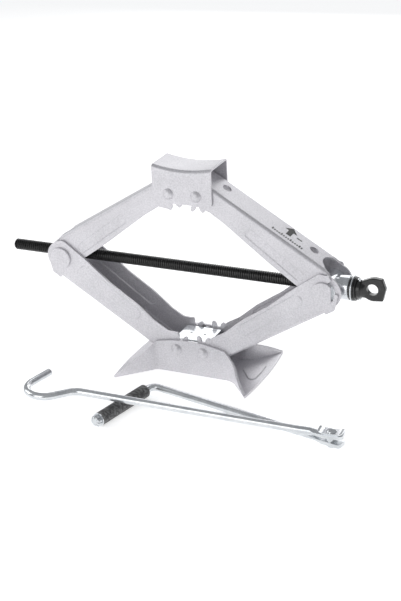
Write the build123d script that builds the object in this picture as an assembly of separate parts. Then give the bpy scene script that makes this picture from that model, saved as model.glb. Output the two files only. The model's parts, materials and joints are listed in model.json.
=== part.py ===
from build123d import *
import os
from math import acos, atan2, cos, degrees, pi, radians, sin, tan

# A scissor stabilizer jack with its folding crank, in millimetres.
# X runs along the screw with the eye at +X, Y across the jack, Z up.
# The origin is the middle of the base's sole, on the ground.

os.makedirs("parts", exist_ok=True)

# ---- linkage -------------------------------------------------------------------------------
PIVOT_SPACING = 35.0        # between the two geared pivots of the base, and of the saddle
ARM_LENGTH = 182.0          # gear pivot to trunnion
REST_ANGLE = 33.0           # each arm above or below the horizontal
BASE_PIVOT_Z = 31.5
TRUNNION_X = PIVOT_SPACING / 2 + ARM_LENGTH * cos(radians(REST_ANGLE))
TRUNNION_Z = BASE_PIVOT_Z + ARM_LENGTH * sin(radians(REST_ANGLE))
TOP_PIVOT_Z = 2 * TRUNNION_Z - BASE_PIVOT_Z

# ---- sheet metal, half widths across the jack ----------------------------------------------
BASE_T, BASE_Y = 3.0, 27.2
LOWER_T, LOWER_Y = 2.5, 23.8
UPPER_T, UPPER_Y = 2.5, 20.8
SADDLE_T, SADDLE_Y = 2.5, 23.8
SPACER_T = 2.0
SIDE_GAP = 0.4              # between a spacer and the arms outside it
RUNNING = 0.05              # radial clearance of every turning fit

# ---- gear ends of the arms ------------------------------------------------------------------
TEETH = 9                   # on a full circle
PITCH_R = PIVOT_SPACING / 2
TIP_R, ROOT_R = 20.8, 13.5
PRESSURE = radians(20)
BACKLASH = 0.6
LEFT_TEETH = (-30, 10, 50, 90)          # degrees from the line between the two pivots
RIGHT_TEETH = (-50, -10, 30, 70, 110)
RIVET_R = 5.0
HEAD_R, HEAD_H = 7.0, 4.0

# ---- trunnions and screw ----------------------------------------------------------------------
TRUNNION_R = 13.5
TRUNNION_Y = 26.4           # half length of both trunnion bars
UPPER_EYE_R = 20.4          # round end of each upper arm
LUG_SLOT = 7.8              # half width of the slot through which a trunnion enters its lugs
SCREW_R = 7.0
SCREW_LEFT = -249.0
BOSS_R = 14.2
BOSS_END = 195.6
FLAT_AT = 10.0              # flat on the thrust trunnion's ends, from its axis
WEB_HOLE_R = 5.75
WEB_HOLES = (21, 144)       # along the upper right arm, from its gear pivot
WEB_HOLE_Y = 3.5            # off the jack's middle plane

# ---- crank ------------------------------------------------------------------------------------
ROD_R = 4.5
HINGE_X, HINGE_Y = 215.9, -128.5
CORNER_X, CORNER_Y = -23.8, -82.1   # where the handle rod turns into the grip
GRIP_ANGLE = 256.5          # the grip's direction in plan
GRIP_R = 8.0


# ---- helpers ------------------------------------------------------------------------------------
def rounded_polygon(corners):
    """A face with straight sides between corners (x, y, radius), each corner rounded."""
    count = len(corners)
    starts, mids, ends = [], [], []
    for i, (x, y, radius) in enumerate(corners):
        here = Vector(x, y)
        to_last = (Vector(*corners[i - 1][:2]) - here).normalized()
        to_next = (Vector(*corners[(i + 1) % count][:2]) - here).normalized()
        half_angle = radians(to_last.get_angle(to_next)) / 2
        reach = radius / tan(half_angle)
        inward = (to_last + to_next).normalized()
        starts.append(here + to_last * reach)
        mids.append(here + inward * (radius / sin(half_angle) - radius))
        ends.append(here + to_next * reach)
    edges = []
    for i in range(count):
        if corners[i][2] > 0:
            edges.append(ThreePointArc(starts[i], mids[i], ends[i]))
        edges.append(Line(ends[i], starts[(i + 1) % count]))
    return make_face(edges)


def along_y(radius, half_length, x=0, z=0):
    """A bar along Y, centred on the jack's middle plane."""
    return Pos(x, 0, z) * Rot(90, 0, 0) * Cylinder(radius, 2 * half_length)


def along_x(radius, start, end, z=TRUNNION_Z):
    """A bar or ring blank along X from start to end."""
    return Pos((start + end) / 2, 0, z) * Rot(0, 90, 0) * Cylinder(radius, end - start)


def dome(radius, height):
    """A rivet head: a spherical cap standing on z = 0."""
    ball_r = (radius**2 + height**2) / (2 * height)
    above = Pos(0, 0, ball_r) * Box(4 * ball_r, 4 * ball_r, 2 * ball_r)
    return Pos(0, 0, height - ball_r) * Sphere(ball_r) & above


def save(node, shape):
    export_step(shape, f"parts/{node}.step")


# ---- arms -------------------------------------------------------------------------------------
# An arm is drawn flat: u runs from its gear pivot to its trunnion, v towards the inside of
# the diamond, and its thickness across the jack is the drawing's normal.
CONTACT_ANGLE = 180 - REST_ANGLE    # direction of the other arm's gear, in the drawing


def tooth(angle):
    """One involute tooth of an arm's gear end, centred on a direction of the drawing."""
    base_r = PITCH_R * cos(PRESSURE)
    pitch_half = (pi * PITCH_R / TEETH - BACKLASH) / 2 / PITCH_R
    radii = [ROOT_R - 1] + [base_r + (TIP_R - base_r) * step / 4 for step in range(5)]
    flank = []
    for r in radii:
        roll = acos(min(1, base_r / r))
        half = pitch_half + tan(PRESSURE) - PRESSURE - (tan(roll) - roll)
        flank.append((r * cos(half), r * sin(half)))
    points = flank + [(x, -y) for x, y in reversed(flank)]
    return Rot(0, 0, angle) * make_face(Polyline(*points, close=True))


def arm_outline(body, tooth_angles):
    """The flange's outline: its body, the round gear end and the gear teeth."""
    outline = body + Circle(ROOT_R)
    for angle in tooth_angles:
        outline += tooth(CONTACT_ANGLE - angle)
    return outline


def channel(half_width, thickness, web_v, slope):
    """A long folded channel whose web climbs away from the arm's line by slope degrees."""
    far, outer_bend, inner_bend = 70, 4.5, 2.0
    inside = half_width - thickness
    outer = rounded_polygon(
        [(web_v, -half_width, outer_bend), (far, -half_width, 0),
         (far, half_width, 0), (web_v, half_width, outer_bend)]
    )
    inner = rounded_polygon(
        [(web_v + thickness, -inside, inner_bend), (far + 10, -inside, 0),
         (far + 10, inside, 0), (web_v + thickness, inside, inner_bend)]
    )
    section = Plane(origin=(-60, 0, 0), x_dir=(0, 1, 0), z_dir=(1, 0, 0)) * (outer - inner)
    return Rot(0, 0, -slope) * extrude(section, 320)


def heel(reach, rise):
    """A fill between a left arm's inner edge and its last tooth, which lies at the edge of the row."""
    last = radians(CONTACT_ANGLE - LEFT_TEETH[-1])
    tip = ((TIP_R - 0.6) * cos(last), (TIP_R - 0.6) * sin(last))
    return make_face(Polyline((0, 0), (reach, rise - 3), (reach, rise), tip, close=True))


def flange_pair(face, half_width, thickness):
    """The same flat plate in both flanges."""
    plate = extrude(face, thickness)
    return Pos(0, 0, half_width - thickness) * plate + Pos(0, 0, -half_width) * plate


def swage(length, width, depth):
    """A soft-edged pressed panel, for adding to or cutting from a flange face."""
    return extrude(RectangleRounded(length, width, width / 2 - 0.5), depth, taper=65)


def press_flanges(arm, centre_u, centre_v, tilt, length, width, depth, half_width, thickness):
    """Press the free side of both flanges out (depth > 0) or in (depth < 0)."""
    panel = swage(length, width, abs(depth))
    outer_z, inner_z = half_width, half_width - thickness
    for side in (1, -1):
        turn = Rot(0, 0, tilt) if side == 1 else Rot(0, 0, tilt) * Rot(180, 0, 0)
        place = Pos(centre_u, centre_v, 0)
        if depth > 0:
            arm += place * Pos(0, 0, side * outer_z) * turn * panel
            arm -= place * Pos(0, 0, side * inner_z) * turn * panel
        else:
            back = turn * Rot(180, 0, 0)
            arm -= place * Pos(0, 0, side * outer_z) * back * panel
            arm += place * Pos(0, 0, side * inner_z) * back * panel
    return arm


def bore_arm(arm):
    """Both turning bores through the two flanges."""
    arm -= Cylinder(RIVET_R + RUNNING, 80)
    return arm - Pos(ARM_LENGTH, 0, 0) * Cylinder(TRUNNION_R + RUNNING, 80)


def lower_arm(tooth_angles, heeled=False):
    """Outer arm: its trunnion lugs are hooks, open along the arm beyond the bore."""
    end, slot = ARM_LENGTH, LUG_SLOT
    body = rounded_polygon(
        [(-4, -13, 0), (6, -15, 6), (30, -24, 2), (end - 21, -22.6, 0), (end - 10, -23.6, 8),
         (end, -24.0, 3), (end + 14, -11, 3), (end + 13.6, -slot, 1.5), (end + 6, -slot, 0),
         (end + 6, slot, 0), (end + 17, slot, 2.5), (end + 17.2, 14, 3), (end + 8.5, 21.8, 9),
         (156, 20, 20), (110, 14.5, 60), (70, 14, 60), (40, 10, 20), (20, 11, 4), (8, 8, 0)]
    )
    outline = arm_outline(body, tooth_angles)
    if heeled:
        outline += heel(22, 10.8)
    web_end = end - 12
    before_lugs = Pos(web_end / 2 - 50, 0) * Rectangle(web_end + 100, 120)
    folded = extrude(outline & before_lugs, 60, both=True) & channel(LOWER_Y, LOWER_T, -18.6, 1.2)
    cheeks = flange_pair(outline - before_lugs, LOWER_Y, LOWER_T)
    arm = press_flanges(folded + cheeks, 107, 4.2, 2.5, 96, 16, 0.8, LOWER_Y, LOWER_T)
    return bore_arm(arm)


def upper_arm(tooth_angles, web_holes=(), heeled=False):
    """Inner arm: round at its trunnion, with a notch in the web's end for the screw."""
    end = ARM_LENGTH
    body = rounded_polygon(
        [(-12, -10, 0), (-12, -26, 0), (150, -26, 0), (164, -23.5, 8), (end - 2, -20, 0),
         (end, 0, 0), (end - 2, 18, 0), (155, 15, 60), (112, 13.2, 120), (45, 7.4, 120),
         (22, 7.2, 8), (10, 11, 0)]
    )
    outline = arm_outline(body, tooth_angles) + Pos(end, 0) * Circle(UPPER_EYE_R)
    if heeled:
        outline += heel(22, 7.6)
    arm = extrude(outline, 60, both=True) & channel(UPPER_Y, UPPER_T, -18.2, 1.75)
    notch_r, notch_u = 15.6, 174.0
    notch = Circle(notch_r) + Pos(30, 0) * Rectangle(60, 2 * notch_r)
    arm -= extrude(web_plane(notch_u) * notch, 26)
    for hole_u in web_holes:
        arm -= extrude(web_plane(hole_u, WEB_HOLE_Y) * Circle(WEB_HOLE_R), 30)
    arm = press_flanges(arm, 112, 0.5, 4.0, 86, 13, -0.7, UPPER_Y, UPPER_T)
    return bore_arm(arm)


def web_plane(u, y=0.0):
    """Plane outside an arm's web that looks in through it, at u along the arm and y across it."""
    return Plane(origin=(u, -40, y), x_dir=(1, 0, 0), z_dir=(0, 1, 0))


def arm_plane(side, level):
    """Plane of an arm's drawing: side -1 left or 1 right, level -1 lower or 1 upper."""
    c, s = cos(radians(REST_ANGLE)), sin(radians(REST_ANGLE))
    pivot_z = BASE_PIVOT_Z if level < 0 else TOP_PIVOT_Z
    outward = Vector(side * c, 0, -level * s)
    inward = Vector(-side * s, 0, -level * c)
    return Plane(
        origin=(side * PIVOT_SPACING / 2, 0, pivot_z), x_dir=outward, z_dir=outward.cross(inward)
    )


save("lower_left_arm", arm_plane(-1, -1).location * lower_arm(LEFT_TEETH, heeled=True))
save("lower_right_arm", arm_plane(1, -1).location * lower_arm(RIGHT_TEETH))
save("upper_left_arm", arm_plane(-1, 1).location * upper_arm(LEFT_TEETH, heeled=True))
save("upper_right_arm", arm_plane(1, 1).location * upper_arm(RIGHT_TEETH, WEB_HOLES))


# ---- base ---------------------------------------------------------------------------------------
# The right and left ends of the bow tie: where the straight waist ends, the bend's radius and
# how many degrees the wall flares.
BOW_ENDS = {1: (45.0, 21.5, 48.6), -1: (42.0, 6.0, 43.2)}
TIP_X, TIP_Y, END_X = 84.5, 67.5, 89.0
WALL_TOP, WALL_SHOULDER, SHOULDER_X = 44.0, 37.5, 46.0
FLARE_LEAN = 16.0           # how many degrees wider the walls flare at WALL_TOP's height


def flank(waist_x, waist_y, radius, flare, reach):
    """Half of one side of the bow tie: straight waist, arc, then a straight flare to x = reach."""
    turn = radians(flare)
    arc_x = waist_x + radius * sin(turn)
    arc_y = waist_y + radius * (1 - cos(turn))
    mid_x = waist_x + radius * sin(turn / 2)
    mid_y = waist_y + radius * (1 - cos(turn / 2))
    tip_y = arc_y + (reach - arc_x) * tan(turn)
    return [(waist_x, waist_y), (mid_x, mid_y), (arc_x, arc_y), (reach, tip_y)]


def bow_tie(inset, lean, reach):
    """The whole bow-tie face, inset by the wall's thickness and flared lean degrees wider."""
    bulge, waist_y = 4.0, BASE_Y - inset
    edges = []
    for sx, (waist_x, radius, flare) in BOW_ENDS.items():
        start, mid, bend, tip = flank(waist_x, waist_y, radius + inset, flare + lean, reach)
        for sy in (1, -1):
            edges.append(ThreePointArc(*[(sx * x, sy * y) for x, y in (start, mid, bend)]))
            edges.append(Line((sx * bend[0], sy * bend[1]), (sx * tip[0], sy * tip[1])))
        edges.append(ThreePointArc((sx * tip[0], tip[1]), (sx * (reach + bulge), 0),
                                   (sx * tip[0], -tip[1])))
    for sy in (1, -1):
        edges.append(Line((-BOW_ENDS[-1][0], sy * waist_y), (BOW_ENDS[1][0], sy * waist_y)))
    return make_face(edges)


def base_pan():
    """Flared pan: a bow-tie sole whose walls lean out and fall away towards both ends."""
    lean_top, low = 60.0, BASE_T + 0.4
    lean = FLARE_LEAN * lean_top / WALL_TOP
    outer = loft([bow_tie(0, 0, 96), Pos(0, 0, lean_top) * bow_tie(0, lean, 96)], ruled=True)
    inner = loft([Pos(0, 0, BASE_T) * bow_tie(BASE_T, 0, 110),
                  Pos(0, 0, lean_top) * bow_tie(BASE_T, lean, 110)], ruled=True)
    side = make_face([
        Line((-100, 0), (100, 0)), Line((100, 0), (100, low)), Line((100, low), (TIP_X, low)),
        ThreePointArc((TIP_X, low), (66, 18), (SHOULDER_X, WALL_SHOULDER)),
        ThreePointArc((SHOULDER_X, WALL_SHOULDER), (0, WALL_TOP), (-SHOULDER_X, WALL_SHOULDER)),
        ThreePointArc((-SHOULDER_X, WALL_SHOULDER), (-66, 18), (-TIP_X, low)),
        Line((-TIP_X, low), (-100, low)), Line((-100, low), (-100, 0)),
    ])
    plan = make_face([
        Line((-TIP_X, TIP_Y), (TIP_X, TIP_Y)),
        ThreePointArc((TIP_X, TIP_Y), (END_X, 0), (TIP_X, -TIP_Y)),
        Line((TIP_X, -TIP_Y), (-TIP_X, -TIP_Y)),
        ThreePointArc((-TIP_X, -TIP_Y), (-END_X, 0), (-TIP_X, TIP_Y)),
    ])
    pan = (outer - inner) & extrude(Plane.XZ * side, 90, both=True) & extrude(plan, 60)
    panel = rounded_polygon([(56, 0, 4), (81, -32, 6), (82.5, 0, 0), (81, 32, 6)])
    raised = Pos(0, 0, BASE_T) * extrude(panel, 1.2, taper=50)
    pan += [raised, Rot(0, 0, 180) * raised]
    for side_sign in (1, -1):
        pan -= along_y(RIVET_R, 80, side_sign * PIVOT_SPACING / 2, BASE_PIVOT_Z)
    return pan


def spacer(width_y, plate_z, pivot_z, drop):
    """A bright folded plate between the arms: a web at plate_z and two flanges round the pivots."""
    half_x, inside = 18.5, width_y - SPACER_T
    far = plate_z + drop
    low, high = min(plate_z, far), max(plate_z, far)
    blank = Pos(0, 0, (low + high) / 2) * Box(2 * half_x + 8, 2 * width_y, high - low)
    top_edges = blank.edges().filter_by(Axis.X).group_by(Axis.Z)[-1 if drop < 0 else 0]
    blank = fillet(top_edges, 3)
    hollow_z = plate_z + (SPACER_T if drop > 0 else -SPACER_T)
    hollow = Pos(0, 0, (hollow_z + far + drop) / 2) * Box(100, 2 * inside, abs(far + drop - hollow_z))
    plate = blank - hollow
    for sign in (1, -1):
        plate -= along_y(RIVET_R + RUNNING, 60, sign * PIVOT_SPACING / 2, pivot_z)
        dimple_z = plate_z + (0.5 if drop < 0 else -0.5)
        plate -= Pos(sign * 9, 0, dimple_z) * Sphere(1.8)
    return plate


def pivot_rivets(half_length, pivot_z):
    """The two long rivets of one pair of geared pivots, headed on both sides."""
    rivets = []
    for side in (-1, 1):
        rivet = along_y(RIVET_R, half_length, side * PIVOT_SPACING / 2, pivot_z)
        for end in (1, -1):
            head = Rot(-90 * end, 0, 0) * dome(HEAD_R, HEAD_H)
            rivet += Pos(side * PIVOT_SPACING / 2, end * half_length, pivot_z) * head
        rivets.append(rivet)
    return Compound(children=rivets)


save("base_pan", base_pan())
save("base_spacer", spacer(LOWER_Y - LOWER_T - SIDE_GAP, 43.0, BASE_PIVOT_Z, -19))
save("base_rivets", pivot_rivets(BASE_Y, BASE_PIVOT_Z))


# ---- saddle ---------------------------------------------------------------------------------------
SADDLE_X = 37.5
SADDLE_BOTTOM = TOP_PIVOT_Z - 11.4
SADDLE_END_TOP, SADDLE_MID_TOP = TOP_PIVOT_Z + 34.2, TOP_PIVOT_Z + 29.8


def saddle():
    def hood(half_x, half_y, bottom, drop, bend):
        profile = make_face([
            Line((-half_x, bottom), (half_x, bottom)),
            Line((half_x, bottom), (half_x, SADDLE_END_TOP - drop)),
            ThreePointArc((half_x, SADDLE_END_TOP - drop), (0, SADDLE_MID_TOP - drop),
                          (-half_x, SADDLE_END_TOP - drop)),
            Line((-half_x, SADDLE_END_TOP - drop), (-half_x, bottom)),
        ])
        block = extrude(Plane.XZ * profile, half_y, both=True)
        return fillet(block.edges().filter_by(GeomType.CIRCLE), bend)

    shell = hood(SADDLE_X, SADDLE_Y, SADDLE_BOTTOM, 0, 5)
    shell -= hood(SADDLE_X, SADDLE_Y - SADDLE_T, SADDLE_BOTTOM - 30, SADDLE_T, 2.5)
    corners = [edge for edge in shell.edges().filter_by(Axis.Y)
               if abs(edge.center().X) > SADDLE_X - 1 and edge.center().Z < SADDLE_BOTTOM + 1]
    shell = fillet(corners, 5)
    for sign in (1, -1):
        shell -= along_y(RIVET_R, 80, sign * PIVOT_SPACING / 2, TOP_PIVOT_Z)
    return shell


save("saddle", saddle())
save("saddle_spacer", spacer(UPPER_Y - UPPER_T - SIDE_GAP, TOP_PIVOT_Z - 11.5, TOP_PIVOT_Z, 19))
save("saddle_rivets", pivot_rivets(SADDLE_Y, TOP_PIVOT_Z))


# ---- trunnions, screw and thrust stack ---------------------------------------------------------------
def chamfered_bar(x):
    bar = along_y(TRUNNION_R, TRUNNION_Y, x, TRUNNION_Z)
    return chamfer(bar.edges().filter_by(GeomType.CIRCLE), 0.6)


def nut_trunnion():
    bar = chamfered_bar(-TRUNNION_X)
    return bar - along_x(SCREW_R + 2 * RUNNING, -TRUNNION_X - 30, -TRUNNION_X + 30)


def thrust_trunnion():
    bar = chamfered_bar(TRUNNION_X)
    for sign in (1, -1):
        end_y = sign * (TRUNNION_Y - 2.5)
        bar -= Pos(TRUNNION_X + FLAT_AT + 10, end_y, TRUNNION_Z) * Box(20, 5.0, 40)
    boss = along_x(BOSS_R, TRUNNION_X, BOSS_END)
    boss = chamfer(boss.edges().filter_by(GeomType.CIRCLE).sort_by(Axis.X)[-1], 1.2)
    waist_r, waist_end = 11.5, TRUNNION_X + 13
    waist = along_x(BOSS_R + 8, TRUNNION_X, waist_end) - along_x(waist_r, TRUNNION_X, waist_end)
    body = bar + (boss - waist)
    return body - along_x(SCREW_R + 2 * RUNNING, TRUNNION_X - 30, TRUNNION_X + 40)


def ring(outer_r, inner_r, start, end, bevel=0.0):
    blank = along_x(outer_r, start, end)
    if bevel:
        blank = chamfer(blank.edges().filter_by(GeomType.CIRCLE), bevel)
    return blank - along_x(inner_r, start - 1, end + 1)


# Where each piece of the thrust stack ends along the screw.
RACE_END, WASHER_END, REAR_RACE_END, COLLAR_END, HUB_END = 198.0, 199.6, 201.2, 203.4, 208.3
HUB_R = 10.8
PIN_X, PIN_R, PIN_HALF = 205.8, 2.25, 12.6
EYE_T = 6.5
EYE_HOLE_R = 6.75
EYE_X = 221.5
EYE_Z = TRUNNION_Z + 2.6


def on_screw(x):
    """Plane across the screw at x, drawn with its first axis along Y and its second along Z."""
    return Plane(origin=(x, 0, TRUNNION_Z), x_dir=(0, 1, 0), z_dir=(1, 0, 0))


def pin_hole():
    return Pos(PIN_X, 0, TRUNNION_Z) * Cylinder(PIN_R, 60)


def screw_eye():
    """Forged head: a round collar and hub pinned on the screw, a neck and a flat pulling eye."""
    collar = along_x(13.8, REAR_RACE_END, COLLAR_END)
    collar = chamfer(collar.edges().filter_by(GeomType.CIRCLE), 0.7)
    hub = along_x(HUB_R, COLLAR_END, HUB_END)
    hub = chamfer(hub.edges().filter_by(GeomType.CIRCLE).sort_by(Axis.X)[-1], 0.8)
    neck = loft([on_screw(HUB_END - 0.5) * Circle(9.2),
                 on_screw(HUB_END + 5.5) * RectangleRounded(EYE_T, 17.4, 1.5)])
    plate = rounded_polygon(
        [(206, -7, 0), (210, -7, 5), (219, -12, 14), (233.5, -10.5, 1.5), (237, 4.5, 5),
         (232.8, 15.8, 2.5), (221.5, 17, 16), (210, 12, 6), (206, 8.4, 0)]
    )
    blade = Pos(0, 0, TRUNNION_Z) * extrude(Plane.XZ * plate, EYE_T / 2, both=True)
    rims = [edge for edge in blade.edges() if abs(abs(edge.center().Y) - EYE_T / 2) < 0.01
            and edge.center().X > 214]
    eye = collar + hub + neck + chamfer(rims, 0.9)
    eye -= along_y(EYE_HOLE_R, 20, EYE_X, EYE_Z)
    eye -= along_x(SCREW_R, REAR_RACE_END - 5, HUB_END)
    return eye - pin_hole()


def eye_pin():
    """A rolled spring pin through the hub, proud at both ends."""
    pin = Cylinder(PIN_R, 2 * PIN_HALF) - Cylinder(PIN_R - 0.8, 2 * PIN_HALF)
    return Pos(PIN_X, 0, TRUNNION_Z) * pin


def lead_screw():
    screw = along_x(SCREW_R, SCREW_LEFT, HUB_END)
    tips = screw.edges().filter_by(GeomType.CIRCLE)
    return chamfer(tips.sort_by(Axis.X)[0], 1.5) - pin_hole()


def lock_collar():
    """The ring fixed on the screw inside the thrust trunnion."""
    trunnion_face = TRUNNION_X - TRUNNION_R
    return ring(11.5, SCREW_R, trunnion_face - 7.5, trunnion_face - 1, 0.8)


save("nut_trunnion", nut_trunnion())
save("thrust_trunnion", thrust_trunnion())
save("front_race", ring(14.0, SCREW_R + 0.2, BOSS_END + 0.1, RACE_END, 0.4))
save("thrust_washer", ring(15.2, SCREW_R + 0.2, RACE_END + 0.1, WASHER_END, 0.4))
save("rear_race", ring(14.0, SCREW_R + 0.2, WASHER_END, REAR_RACE_END, 0.4))
save("lead_screw", lead_screw())
save("screw_eye", screw_eye())
save("eye_pin", eye_pin())
save("lock_collar", lock_collar())


# ---- crank ----------------------------------------------------------------------------------------
# Angles are in plan. The two rods' forged ears are stacked on the hinge: handle, spacer, hook.
HANDLE_ANGLE = degrees(atan2(CORNER_Y - HINGE_Y, CORNER_X - HINGE_X))
HOOK_ANGLE = 183.6
EAR_T = 4.4
HANDLE_EAR_Z, SPACER_TOP = 3.5, 12.6    # undersides of the two ears
CLIP_T = 1.5
FOLD_PIN_R = 3.5
GRIP_START, GRIP_END, CAP_END = 14.0, 95.0, 103.0
HOOK_ROD_Z = SPACER_TOP + EAR_T / 2     # shank's centre at the hinge
HOOK_LEVEL, HOOK_CLIMB = 40.0, 0.029
HOOK_S, HOOK_W, HOOK_R = 343.2, 2.45, 22.8  # hook's centre along and beside the shank
SWERVE, HOOK_TURN, HOOK_TIP = 43.4, 149.0, 30.0


def from_hinge(angle, distance, z):
    return (HINGE_X + distance * cos(radians(angle)), HINGE_Y + distance * sin(radians(angle)), z)


def rod_along(points, radii):
    """A round rod along straight runs joined by arcs."""
    path = FilletPolyline(*points, radius=radii)
    start = Vector(*points[0])
    direction = Vector(*points[1]) - start
    return sweep(Plane(origin=start, z_dir=direction) * Circle(ROD_R), path=path)


def flat_ear(angle, bottom, rod_z, reach):
    """A rod's forged end: a flat round-nosed ear on the hinge, tapering back into the rod."""
    nose_r, half_w = 14.0, 7.5
    ear = rounded_polygon([(-nose_r, -half_w, 4), (10, -half_w, 0), (10, half_w, 0),
                           (-nose_r, half_w, 4)])
    ear = extrude(ear, EAR_T)
    flat = Plane(origin=(10, 0, EAR_T / 2), x_dir=(0, 1, 0), z_dir=(1, 0, 0))
    round_end = Plane(origin=(reach, 0, rod_z - bottom), x_dir=(0, 1, 0), z_dir=(1, 0, 0))
    taper = loft([flat * RectangleRounded(2 * half_w, EAR_T, 1.0), round_end * Circle(ROD_R)])
    return Pos(HINGE_X, HINGE_Y, bottom) * Rot(0, 0, angle) * (ear + taper)


def handle_rod():
    """Hinge ear, a long straight run and a right-angled end that carries the grip."""
    hinge_z, ear_reach, level_end = HANDLE_EAR_Z + EAR_T / 2, 26, 44
    corner = Vector(CORNER_X, CORNER_Y, GRIP_R)
    end = corner + grip_direction() * (CAP_END - 2)
    start, level = [from_hinge(HANDLE_ANGLE, reach, hinge_z) for reach in (ear_reach, level_end)]
    rod = rod_along([start, level, tuple(corner), tuple(end)], [400, 10])
    rod += flat_ear(HANDLE_ANGLE, HANDLE_EAR_Z, hinge_z, ear_reach)
    return rod - Pos(HINGE_X, HINGE_Y, 0) * Cylinder(FOLD_PIN_R, 60)


def hook_point(along, aside):
    """A point of the hook rod's plane, which climbs from the hinge to clear the grip."""
    z = HOOK_ROD_Z + HOOK_CLIMB * max(0, along - HOOK_LEVEL)
    x, y, z = from_hinge(HOOK_ANGLE, along, z)
    turn = radians(HOOK_ANGLE + 90)
    return (x + aside * cos(turn), y + aside * sin(turn), z)


def hook_rod():
    """Straight shank, a swerve to one side, then a round hook that turns back past the shank."""
    ear_reach = 24
    swerve, half_turn = radians(SWERVE), radians(HOOK_TURN / 2)
    start_s = HOOK_S - HOOK_R * sin(swerve)
    start_w = HOOK_W + HOOK_R * cos(swerve)
    reach = (HOOK_R + 0.1) * tan(half_turn / 2)
    heading = swerve
    route = [(ear_reach, 0), (HOOK_LEVEL, 0), (start_s - start_w / tan(swerve), 0)]
    s, w = start_s, start_w
    for step in (1, 2):
        s, w = s + reach * cos(heading), w + reach * sin(heading)
        route.append((s, w))
        heading -= half_turn
        s, w = s + reach * cos(heading), w + reach * sin(heading)
    route.append((s + HOOK_TIP * cos(heading), w + HOOK_TIP * sin(heading)))
    rod = rod_along([hook_point(*place) for place in route], [200, 22, HOOK_R, HOOK_R])
    rod += flat_ear(HOOK_ANGLE, SPACER_TOP, HOOK_ROD_Z, ear_reach)
    return rod - Pos(HINGE_X, HINGE_Y, 0) * Cylinder(FOLD_PIN_R + RUNNING, 60)


def grip_direction():
    return Vector(cos(radians(GRIP_ANGLE)), sin(radians(GRIP_ANGLE)), 0)


def grip_place():
    """Location whose Z axis runs along the grip from the rod's corner."""
    return Plane(origin=(CORNER_X, CORNER_Y, GRIP_R), z_dir=grip_direction()).location


def grip():
    """A plain sleeve that turns freely on the rod."""
    sleeve = Pos(0, 0, (GRIP_START + GRIP_END) / 2) * Cylinder(GRIP_R, GRIP_END - GRIP_START)
    sleeve = chamfer(sleeve.edges().filter_by(GeomType.CIRCLE), 0.8)
    return grip_place() * (sleeve - Cylinder(ROD_R + 0.1, 400))


def grip_cap():
    """A push-on cap that keeps the grip on its rod: a shallow crowned cup."""
    start = GRIP_END + 0.2
    cap = Pos(0, 0, (start + CAP_END) / 2) * Cylinder(7.6, CAP_END - start)
    cap = fillet(cap.edges().filter_by(GeomType.CIRCLE).sort_by(Axis.Z)[-1], 2.2)
    return grip_place() * (cap - Pos(0, 0, GRIP_END) * Cylinder(ROD_R, 2 * (CAP_END - 2 - GRIP_END)))


def fold_clip():
    """A thin saddle-shaped clip under the hinge rivet's head."""
    flat, reach, rise = 7.0, 14.0, 2.6
    edges = []
    for z in (0, CLIP_T):
        edges.append(Line((-flat, z), (flat, z)))
        for sign in (1, -1):
            edges.append(ThreePointArc((sign * flat, z), (sign * (flat + reach) / 2, z + rise / 4),
                                       (sign * reach, z + rise)))
    for sign in (1, -1):
        edges.append(Line((sign * reach, rise), (sign * reach, rise + CLIP_T)))
    strip = extrude(Plane.XZ * make_face(edges), 6.5, both=True)
    strip &= extrude(RectangleRounded(2 * reach, 13, 3), 10)
    clip = strip - Cylinder(FOLD_PIN_R + RUNNING, 20)
    return Pos(HINGE_X, HINGE_Y, SPACER_TOP + EAR_T) * Rot(0, 0, HOOK_ANGLE) * clip


def fold_rivet():
    """The hinge rivet: a low tail under the handle's ear and a dome over the clip."""
    head_z, tail_z = SPACER_TOP + EAR_T + CLIP_T + 0.1, 0.2
    shank = Pos(0, 0, (tail_z + head_z) / 2) * Cylinder(FOLD_PIN_R, head_z - tail_z)
    tail = Pos(0, 0, (tail_z + HANDLE_EAR_Z) / 2) * Cylinder(5.0, HANDLE_EAR_Z - tail_z)
    return Pos(HINGE_X, HINGE_Y, 0) * (shank + tail + Pos(0, 0, head_z) * dome(5.8, 3.6))


def fold_spacer():
    low = HANDLE_EAR_Z + EAR_T
    height = SPACER_TOP - low - 0.05
    return Pos(HINGE_X, HINGE_Y, low + height / 2) * (
        Cylinder(6.5, height) - Cylinder(FOLD_PIN_R, 40)
    )


save("handle_rod", handle_rod())
save("hook_rod", hook_rod())
save("grip", grip())
save("grip_cap", grip_cap())
save("fold_clip", fold_clip())
save("fold_rivet", fold_rivet())
save("fold_spacer", fold_spacer())
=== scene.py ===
"""Scissor stabilizer jack with its folding crank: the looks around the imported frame.

Every length is in metres, in the jack's own frame: X along the screw towards the eye, Z up.
"""

import json
import math

import bmesh
import bpy
from mathutils import Matrix, Vector
from mathutils.bvhtree import BVHTree


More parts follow.
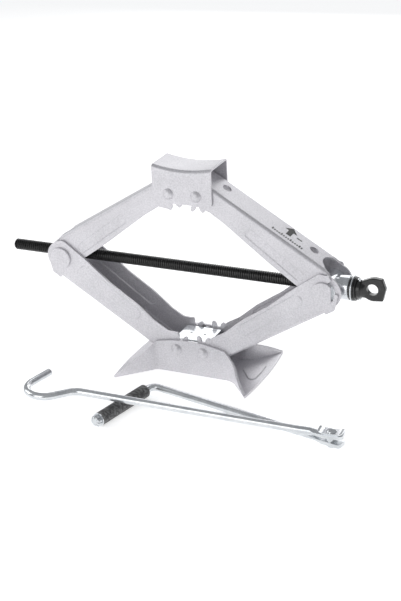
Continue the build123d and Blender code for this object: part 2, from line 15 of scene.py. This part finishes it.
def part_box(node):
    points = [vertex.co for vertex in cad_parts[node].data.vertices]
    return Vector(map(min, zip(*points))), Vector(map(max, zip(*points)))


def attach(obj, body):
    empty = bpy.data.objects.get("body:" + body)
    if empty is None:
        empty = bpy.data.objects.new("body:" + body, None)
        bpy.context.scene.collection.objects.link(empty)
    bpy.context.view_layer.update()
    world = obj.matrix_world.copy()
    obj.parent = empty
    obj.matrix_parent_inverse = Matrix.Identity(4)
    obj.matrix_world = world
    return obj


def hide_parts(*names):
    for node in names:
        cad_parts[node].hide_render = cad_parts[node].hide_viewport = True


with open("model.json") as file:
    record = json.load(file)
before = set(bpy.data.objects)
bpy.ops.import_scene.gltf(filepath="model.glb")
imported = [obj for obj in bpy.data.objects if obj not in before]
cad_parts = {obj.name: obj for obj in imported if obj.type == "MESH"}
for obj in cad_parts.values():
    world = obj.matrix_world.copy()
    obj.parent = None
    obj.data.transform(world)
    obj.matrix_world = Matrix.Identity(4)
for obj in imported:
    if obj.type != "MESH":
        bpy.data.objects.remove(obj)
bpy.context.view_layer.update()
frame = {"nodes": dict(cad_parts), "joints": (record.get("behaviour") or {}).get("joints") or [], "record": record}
scene = bpy.context.scene
MM = 0.001


# ---- shader expressions -----------------------------------------------------------------------
class Shade:
    """A number or colour in a material, on which sums can be written."""

    def __init__(self, finish, socket):
        self.finish = finish
        self.socket = socket

    def math(self, operation, *others, clamp=False):
        return self.finish.node("ShaderNodeMath", {"operation": operation, "use_clamp": clamp},
                                dict(enumerate((self, *others))))

    def __add__(self, other):
        return self.math("ADD", other)

    def __sub__(self, other):
        return self.math("SUBTRACT", other)

    def __mul__(self, other):
        return self.math("MULTIPLY", other)

    def __rsub__(self, other):
        return self.finish.node("ShaderNodeMath", {"operation": "SUBTRACT"}, {0: other, 1: self})

    __radd__ = __add__
    __rmul__ = __mul__

    def clamp(self):
        return self.math("ADD", 0.0, clamp=True)

    def ramp(self, low, high):
        """0 below low, 1 above high, smooth between."""
        return self.finish.node(
            "ShaderNodeMapRange", {"interpolation_type": "SMOOTHSTEP"},
            {"Value": self, "From Min": low, "From Max": high}, "Result")


class Finish:
    """One material and its nodes."""

    def __init__(self, name, **fixed):
        self.material = bpy.data.materials.new(name)
        self.material.use_nodes = True
        self.tree = self.material.node_tree
        self.shader = self.tree.nodes["Principled BSDF"]
        for socket, value in fixed.items():
            self.shader.inputs[socket.replace("_", " ")].default_value = value

    def node(self, kind, settings=None, inputs=None, output=0):
        """Adds a node: its settings first, then the values or links of its sockets."""
        node = self.tree.nodes.new(kind)
        for name, value in (settings or {}).items():
            setattr(node, name, value)
        for name, value in (inputs or {}).items():
            if isinstance(value, Shade):
                self.tree.links.new(value.socket, node.inputs[name])
            else:
                node.inputs[name].default_value = value
        return Shade(self, node.outputs[output])

    def place(self, scale=(1, 1, 1), turn=(0, 0, 0)):
        """Object coordinates, stretched and turned."""
        own = self.node("ShaderNodeTexCoord", output="Object")
        return self.node("ShaderNodeMapping", None,
                         {"Vector": own, "Rotation": turn, "Scale": scale})

    def noise(self, place, scale, detail=2.0, roughness=0.5):
        return self.node("ShaderNodeTexNoise", None,
                         {"Vector": place, "Scale": scale, "Detail": detail,
                          "Roughness": roughness})

    def cells(self, place, scale):
        """Distance from the middles of small scattered cells."""
        return self.node("ShaderNodeTexVoronoi", None, {"Vector": place, "Scale": scale},
                         "Distance")

    def mix(self, share, first, second):
        """A colour between two colours; its sockets are a Mix node's colour ones."""
        factor, colour_a, colour_b, result = 0, 6, 7, 2
        return self.node("ShaderNodeMix", {"data_type": "RGBA"},
                         {factor: share, colour_a: first, colour_b: second}, result)

    def bump(self, height, distance, strength):
        return self.node("ShaderNodeBump", None,
                         {"Height": height, "Distance": distance, "Strength": strength})

    def wear(self, **sockets):
        """Feeds the shader's sockets."""
        for name, value in sockets.items():
            self.tree.links.new(value.socket, self.shader.inputs[name.replace("_", " ")])
        return self.material


def grey(level, warmth=0.0):
    """A near-grey colour; positive warmth leans to red, negative to blue."""
    return (level * (1 + warmth), level, level * (1 - warmth), 1.0)


# ---- finishes ---------------------------------------------------------------------------------
def paint_look(finish):
    """Silver stoving paint over pressed steel: flakes, orange peel and slight cloudiness."""
    place = finish.place()
    grain = finish.noise(place, 620, 3.0, 0.7)
    flake = finish.cells(place, 1400)
    cloud = finish.noise(place, 30, 3.0, 0.6)
    shade = (cloud - 0.5) * 0.5 + (grain - 0.5) * 1.6 + 0.5
    colour = finish.mix(shade.clamp(), PAINT_DARK, PAINT_LIGHT)
    colour = finish.mix(flake.ramp(0.22, 0.06) * 0.4, colour, grey(0.92))
    dimples = grain * 0.65 + finish.noise(place, 300, 2.0) * 0.35
    return {"colour": colour, "rough": 0.38 + (grain - 0.5) * 0.3, "height": dimples}


def zinc_look(finish, stretch=(1, 1, 1)):
    """Bluish zinc plate with drawing marks, longer where the pattern is stretched."""
    marks = finish.noise(finish.place(stretch), 500, 3.0, 0.6)
    cloud = finish.noise(finish.place(), 45, 3.0, 0.6)
    colour = finish.mix(cloud.ramp(0.3, 0.7), grey(0.66, -0.035), grey(0.82, -0.02))
    colour = finish.mix(marks.ramp(0.5, 0.75) * 0.4, colour, grey(0.45, -0.02))
    return {"colour": colour, "rough": 0.17 + (cloud - 0.5) * 0.12 + (marks - 0.5) * 0.16,
            "height": marks}


def silver_paint():
    finish = Finish("silver_paint", Metallic=PAINT_METALLIC, IOR=1.5)
    look = paint_look(finish)
    return finish.wear(Base_Color=look["colour"], Roughness=look["rough"],
                       Normal=finish.bump(look["height"], PAINT_BUMP, 0.6))


def bright_zinc(name="bright_zinc", stretch=(1, 1, 1)):
    finish = Finish(name, Metallic=ZINC_METALLIC)
    look = zinc_look(finish, stretch)
    return finish.wear(Base_Color=look["colour"], Roughness=look["rough"],
                       Normal=finish.bump(look["height"], 0.06 * MM, 0.45))


def painted_bar():
    """Zinc bar whose two end faces, outside the arms, were painted with the jack."""
    finish = Finish("painted_bar")
    zinc, paint = zinc_look(finish, (1, 0.2, 1)), paint_look(finish)
    y = finish.node("ShaderNodeSeparateXYZ", None, {0: finish.place()}, "Y")
    end = y.math("ABSOLUTE").ramp(PAINTED_FROM, PAINTED_FROM + 0.3 * MM)
    return finish.wear(Base_Color=finish.mix(end, zinc["colour"], paint["colour"]),
                       Metallic=ZINC_METALLIC - end * (ZINC_METALLIC - PAINT_METALLIC),
                       Roughness=zinc["rough"] * (1 - end) + paint["rough"] * end,
                       Normal=finish.bump(paint["height"] * end, PAINT_BUMP, 0.6))


def black_oxide():
    """Oiled black oxide on forged or rolled steel, rubbed a little brighter in places."""
    finish = Finish("black_oxide", Metallic=0.25, IOR=1.5, Coat_Roughness=0.1)
    place = finish.place()
    scale = finish.noise(place, 320, 4.0, 0.65)
    cloud = finish.noise(place, 70, 3.0, 0.6)
    colour = finish.mix(scale.ramp(0.35, 0.75), grey(0.005), grey(0.022, 0.02))
    colour = finish.mix(cloud.ramp(0.58, 0.8) * 0.4, colour, grey(0.07))
    rough = 0.33 + (cloud - 0.5) * 0.2 + (scale - 0.5) * 0.2
    return finish.wear(Base_Color=colour, Roughness=rough, Coat_Weight=0.5 + (cloud - 0.5) * 0.6,
                       Normal=finish.bump(scale, 0.2 * MM, 0.55))


def grip_plastic():
    """Moulded grip: fine grain, with paler streaks along it where it has been handled."""
    finish = Finish("grip_plastic", Metallic=0.0, IOR=1.48)
    grain = finish.noise(finish.place(), 650, 3.0, 0.6)
    streak = finish.noise(finish.place((0.04, 1, 1), (0, 0, -GRIP_TURN)), 380, 3.0, 0.6)
    colour = finish.mix(grain.ramp(0.35, 0.7), grey(0.045), grey(0.12))
    colour = finish.mix(streak.ramp(0.42, 0.68) * 0.75, colour, grey(0.33))
    return finish.wear(Base_Color=colour, Roughness=0.36 + (grain - 0.5) * 0.3,
                       Normal=finish.bump(grain, 0.25 * MM, 0.6))


def mark_ink():
    """Screen-printed black ink."""
    finish = Finish("mark_ink", Metallic=0.0, IOR=1.45)
    grain = finish.noise(finish.place(), 900, 3.0, 0.6)
    return finish.wear(Base_Color=finish.mix(grain.ramp(0.3, 0.8), grey(0.008), grey(0.03)),
                       Roughness=0.45 + (grain - 0.5) * 0.3)


PAINT_DARK, PAINT_LIGHT = (0.49, 0.482, 0.505, 1), (0.83, 0.815, 0.85, 1)
PAINT_METALLIC, ZINC_METALLIC = 0.4, 0.8
PAINT_BUMP = 0.3 * MM
PAINTED_FROM = 23.4 * MM    # from the jack's middle plane, near the lower arms' outer faces
joints = {joint["name"]: joint for joint in frame["joints"]}
GRIP_CORNER = Vector(joints["grip_spin"]["pos_m"])
GRIP_ALONG = Vector(joints["grip_spin"]["axis"]).normalized()
GRIP_TURN = math.atan2(GRIP_ALONG.y, GRIP_ALONG.x)

SILVER, ZINC, BLACK = silver_paint(), bright_zinc(), black_oxide()
GRIP, INK, PAINTED_BAR = grip_plastic(), mark_ink(), painted_bar()
FINISHES = {"silver_paint": SILVER, "bright_zinc": ZINC, "black_oxide": BLACK,
            "grip_plastic": GRIP}
OWN_FINISHES = {"thrust_trunnion": PAINTED_BAR,
                "handle_rod": bright_zinc("drawn_zinc", stretch=(0.08, 1, 1))}


def dress_cad_nodes():
    """Every carried-over CAD node gets its own finish, or that of its material slot."""
    for part in frame["record"]["subparts"]:
        node = frame["nodes"][part["node"]]
        node.data.materials.clear()
        node.data.materials.append(
            OWN_FINISHES.get(part["node"], FINISHES[part["material_slot"]]))


# ---- new pieces -------------------------------------------------------------------------------
SHARP = math.radians(32)    # edges that turn more than this stay sharp


def finish_piece(mesh, name, place, material, body, slot, *replaced):
    """Places a bmesh and makes it a smooth-shaded piece that rides on a body."""
    bmesh.ops.remove_doubles(mesh, verts=mesh.verts, dist=0.002 * MM)
    bmesh.ops.transform(mesh, matrix=place, verts=mesh.verts)
    bmesh.ops.recalc_face_normals(mesh, faces=mesh.faces)
    for face in mesh.faces:
        face.smooth = True
    for edge in mesh.edges:
        edge.smooth = edge.calc_face_angle(0) < SHARP
    data = bpy.data.meshes.new(name)
    mesh.to_mesh(data)
    mesh.free()
    data.materials.append(material)
    piece = bpy.data.objects.new(name, data)
    scene.collection.objects.link(piece)
    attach(piece, body)
    if replaced:
        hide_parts(*replaced)


def line_in(mesh, points):
    """Vertices and edges through (along X, radius) points, in millimetres."""
    verts = [mesh.verts.new((along * MM, 0, radius * MM)) for along, radius in points]
    return verts + [mesh.edges.new(pair) for pair in zip(verts, verts[1:])]


def turn_line(mesh, points, steps):
    """A profile of (along X, radius) points turned once about the X axis."""
    bmesh.ops.spin(mesh, geom=line_in(mesh, points), axis=(1, 0, 0), cent=(0, 0, 0),
                   angle=math.tau, steps=steps, use_merge=True)


def shrink_across(vert, share):
    """Moves a vertex towards the X axis, to a share of its distance."""
    vert.co.y *= share
    vert.co.z *= share


def round_step(vert, steps):
    """Which of the steps round the X axis a vertex stands on."""
    return round(math.atan2(vert.co.z, vert.co.y) / math.tau * steps)


def cut_end(mesh, along, facing):
    """Cuts a mesh square at x = along, keeps the side away from facing and caps it."""
    bmesh.ops.bisect_plane(mesh, geom=mesh.verts[:] + mesh.edges[:] + mesh.faces[:],
                           plane_co=(along * MM, 0, 0), plane_no=(facing, 0, 0),
                           clear_outer=True)
    rim = [edge for edge in mesh.edges if edge.is_boundary
           and all(abs(vert.co.x - along * MM) < 0.01 * MM for vert in edge.verts)]
    bmesh.ops.holes_fill(mesh, edges=rim)


PITCH = 2.82
CREST_R, ROOT_R = 6.95, 5.35
CREST_EDGE_R = CREST_R - 0.12
THREAD_FORM = [(0, ROOT_R), (0.75, ROOT_R), (1.3, CREST_EDGE_R), (1.45, CREST_R),
               (2.1, CREST_R), (2.25, CREST_EDGE_R), (PITCH, ROOT_R)]   # (along, radius)
THREAD_END = 149.0          # where the thread runs out, before the ring at the right knee
THREAD_STEPS, SHANK_STEPS = 24, 48
TIP_CHAMFER, TIP_R = 1.8, 4.9


def add_screw():
    """The rolled thread, then the plain shank that runs on through the thrust stack."""
    low, high = (Vector(corner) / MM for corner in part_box("lead_screw"))
    mesh = bmesh.new()
    start = low.x - 2 * PITCH
    bmesh.ops.spin(mesh, geom=line_in(mesh, [(start + x, r) for x, r in THREAD_FORM]),
                   axis=(1, 0, 0), cent=(0, 0, 0), dvec=(PITCH * MM / THREAD_STEPS, 0, 0),
                   angle=math.tau, steps=THREAD_STEPS)
    one_turn = mesh.verts[:] + mesh.edges[:] + mesh.faces[:]
    for turn in range(1, math.ceil((THREAD_END - start) / PITCH) + 1):
        copy = bmesh.ops.duplicate(mesh, geom=one_turn)["geom"]
        bmesh.ops.translate(mesh, vec=(turn * PITCH * MM, 0, 0),
                            verts=[item for item in copy if isinstance(item, bmesh.types.BMVert)])
    bmesh.ops.remove_doubles(mesh, verts=mesh.verts, dist=0.002 * MM)
    cut_end(mesh, low.x, -1)
    cut_end(mesh, THREAD_END, 1)
    for vert in mesh.verts:
        inward = vert.co.x / MM - low.x
        radius = math.hypot(vert.co.y, vert.co.z) / MM
        limit = TIP_R + (CREST_R - TIP_R) * inward / TIP_CHAMFER
        if inward < TIP_CHAMFER and radius > limit:
            shrink_across(vert, limit / radius)
    shank_r, shank_start = (high.y - low.y) / 2 - 0.05, THREAD_END - 0.5
    turn_line(mesh, [(shank_start, 0), (shank_start, shank_r), (high.x, shank_r), (high.x, 0)],
              SHANK_STEPS)
    centre = Matrix.Translation((0, 0, (low.z + high.z) / 2 * MM))
    finish_piece(mesh, "threaded_screw", centre, BLACK, "lead_screw", "black_oxide",
                 "lead_screw")


GRIP_PLACE = (Matrix.Translation(GRIP_CORNER)
              @ GRIP_ALONG.to_track_quat("X", "Z").to_matrix().to_4x4())
GRIP_START, GRIP_END = 14.0, 95.0       # along the grip's axis from the rod's corner
GRIP_R, GRIP_BORE_R, GRIP_BEVEL = 8.0, 4.7, 0.9
FLUTES, FLUTE_DEPTH, STEPS_PER_FLUTE = 24, 0.55, 4
PLAIN_END, FLUTE_RUN_OUT = 3.0, 1.0     # smooth band at each end, and the slope to the flutes


def add_grip():
    """A sleeve with flutes along it that run out before its ends."""
    fluted_from = GRIP_START + PLAIN_END + FLUTE_RUN_OUT
    fluted_to = GRIP_END - PLAIN_END - FLUTE_RUN_OUT
    profile = [(GRIP_START, GRIP_BORE_R), (GRIP_START, GRIP_R - GRIP_BEVEL),
               (GRIP_START + GRIP_BEVEL, GRIP_R), (GRIP_START + PLAIN_END, GRIP_R),
               (fluted_from, GRIP_R), (fluted_to, GRIP_R), (GRIP_END - PLAIN_END, GRIP_R),
               (GRIP_END - GRIP_BEVEL, GRIP_R), (GRIP_END, GRIP_R - GRIP_BEVEL),
               (GRIP_END, GRIP_BORE_R), (GRIP_START, GRIP_BORE_R)]
    mesh = bmesh.new()
    steps = FLUTES * STEPS_PER_FLUTE
    turn_line(mesh, profile, steps)
    slack = 0.1
    for vert in mesh.verts:
        along, radius = vert.co.x / MM, math.hypot(vert.co.y, vert.co.z) / MM
        fluted = fluted_from - slack < along < fluted_to + slack and radius > GRIP_R - slack
        if fluted and round_step(vert, steps) % STEPS_PER_FLUTE == 0:
            shrink_across(vert, 1 - FLUTE_DEPTH / GRIP_R)
    finish_piece(mesh, "fluted_grip", GRIP_PLACE, GRIP, "grip", "grip_plastic", "grip")


def add_star_cap():
    """A push-on retaining cap: a bright flange, a groove and a crown cut into petals."""
    petals, steps, notch_share = 8, 64, 0.78
    flange_r, groove_r, crown_r = 7.95, 5.9, 7.0
    base = GRIP_END + 0.2
    crown_from, crown_inner_r = 3.0, 4.0
    profile = [(0, 0), (0, 7.7), (0.4, flange_r), (1.2, flange_r), (1.6, 7.6), (1.9, groove_r),
               (2.9, groove_r), (3.2, 6.9), (5.4, crown_r), (6.8, 6.2), (7.4, 4.4), (7.0, 3.2),
               (7.2, 1.4), (7.3, 0)]
    mesh = bmesh.new()
    turn_line(mesh, [(base + along, radius) for along, radius in profile], steps)
    for vert in mesh.verts:
        along, radius = vert.co.x / MM - base, math.hypot(vert.co.y, vert.co.z) / MM
        in_crown = along > crown_from and radius > crown_inner_r
        if in_crown and round_step(vert, steps) % (steps // petals) == 0:
            shrink_across(vert, notch_share)
    finish_piece(mesh, "star_cap", GRIP_PLACE, ZINC, "handle_rod", "bright_zinc", "grip_cap")


def rectangle(u, y, long, wide):
    return [(u, y), (u + long, y), (u + long, y + wide), (u, y + wide)]


def mark_shapes():
    """The mark's flat shapes as (along the arm, across it) in millimetres from the gear pivot."""
    arrow_head = [(102, 7), (118.5, 7), (110.2, 15.8)]
    arrow_stem = rectangle(107, -3.5, 6.4, 10.5)
    short_bar = rectangle(120, 1.8, 7, 2)
    row_start, row_y, ticks, spacing, wide = 91, -11.8, 14, 3.1, 1.7
    row = [rectangle(row_start + tick * spacing, row_y, wide, 4.4 if tick % 4 == 0 else 3.0)
           for tick in range(ticks)]
    return [arrow_head, arrow_stem, short_bar, *row]


def add_printed_mark():
    """A generic lifting arrow over a graduated row, printed on the upper right arm's web."""
    arm = frame["nodes"]["upper_right_arm"].data
    surface = BVHTree.FromPolygons([vert.co for vert in arm.vertices],
                                   [face.vertices for face in arm.polygons])
    saddle_pivot, knee = (Vector(joints[name]["pos_m"]) for name in ("saddle_pivot", "right_knee"))
    pivot = Vector((-saddle_pivot.x, 0, saddle_pivot.z))
    along = (knee - pivot).normalized()
    outward = along.cross(Vector((0, 1, 0)))
    mesh = bmesh.new()
    sunk, proud, well_above = 0.05 * MM, 0.12 * MM, 60 * MM
    for shape in mark_shapes():
        corners = []
        for u, y in shape:
            above = pivot + along * u * MM + Vector((0, y * MM, 0)) + outward * well_above
            hit = surface.ray_cast(above, -outward)[0]
            corners.append(mesh.verts.new(hit - outward * sunk))
        raised = [mesh.verts.new(vert.co + outward * (sunk + proud)) for vert in corners]
        mesh.faces.new(corners)
        mesh.faces.new(reversed(raised))
        for i in range(len(corners)):
            mesh.faces.new((corners[i - 1], raised[i - 1], raised[i], corners[i]))
    finish_piece(mesh, "printed_mark", Matrix(), INK, "upper_right_arm", "black_oxide")


dress_cad_nodes()
add_screw()
add_grip()
add_star_cap()
add_printed_mark()


# ---- stage ------------------------------------------------------------------------------------
def make_floor():
    """A pale floor that glows a little, so that it stays white behind the jack."""
    mesh = bmesh.new()
    bmesh.ops.create_grid(mesh, x_segments=1, y_segments=1, size=20.0)
    data = bpy.data.meshes.new("floor")
    mesh.to_mesh(data)
    mesh.free()
    floor = bpy.data.objects.new("floor", data)
    scene.collection.objects.link(floor)
    finish = Finish("floor_paint", Roughness=0.9, Base_Color=grey(0.93),
                    Emission_Color=grey(1.0), Emission_Strength=0.6)
    data.materials.append(finish.material)


def direction_to(azimuth, elevation):
    """Unit vector towards an azimuth, counted from the front (-Y) to +X, and an elevation."""
    turn, lift = math.radians(azimuth), math.radians(elevation)
    return Vector((math.sin(turn) * math.cos(lift), -math.cos(turn) * math.cos(lift),
                   math.sin(lift)))


def add_softbox(name, azimuth, elevation, distance, size, power):
    """A square studio light that looks at the jack from a direction."""
    back = direction_to(azimuth, elevation)
    light = bpy.data.lights.new(name, "AREA")
    light.energy = power
    light.size = size
    lamp = bpy.data.objects.new(name, light)
    lamp.location = LIGHTS_AIM + back * distance
    lamp.rotation_euler = back.to_track_quat("Z", "Y").to_euler()
    scene.collection.objects.link(lamp)


LIGHTS_AIM = Vector((0, 0, 0.1))


def make_lights():
    """A dim bluish room with a large light behind the jack and two smaller ones before it."""
    world = bpy.data.worlds.new("studio")
    scene.world = world
    world.use_nodes = True
    world.node_tree.nodes["Background"].inputs["Color"].default_value = (0.95, 0.97, 1.0, 1)
    world.node_tree.nodes["Background"].inputs["Strength"].default_value = 0.35
    add_softbox("rear", 186, 26, 1.7, 1.5, 12.5)
    add_softbox("left", -78, 24, 1.6, 1.0, 4.5)
    add_softbox("front", -16, 20, 1.9, 1.2, 7.8)


# ---- camera -----------------------------------------------------------------------------------
CAMERA_AZIMUTH, CAMERA_ELEVATION, CAMERA_ROLL = 25.98, 23.64, -3.17
CAMERA_DISTANCE = 1.6015
CAMERA_TARGET = Vector((0, 0, 0.110))
CAMERA_LENS = 80.05
CAMERA_SHIFT = (0.0081, -0.0290)


def make_camera():
    turn, roll = math.radians(CAMERA_AZIMUTH), math.radians(CAMERA_ROLL)
    back = direction_to(CAMERA_AZIMUTH, CAMERA_ELEVATION)
    level = Vector((math.cos(turn), math.sin(turn), 0))
    rise = back.cross(level)
    right = level * math.cos(roll) + rise * math.sin(roll)
    up = rise * math.cos(roll) - level * math.sin(roll)
    data = bpy.data.cameras.new("camera")
    data.lens = CAMERA_LENS
    data.sensor_width = 36
    data.shift_x, data.shift_y = CAMERA_SHIFT
    data.clip_end = 50
    camera = bpy.data.objects.new("camera", data)
    place = Matrix((right, up, back)).transposed().to_4x4()
    place.translation = CAMERA_TARGET + back * CAMERA_DISTANCE
    camera.matrix_world = place
    scene.collection.objects.link(camera)
    scene.camera = camera


make_floor()
make_lights()
make_camera()
scene.view_settings.view_transform = "Standard"
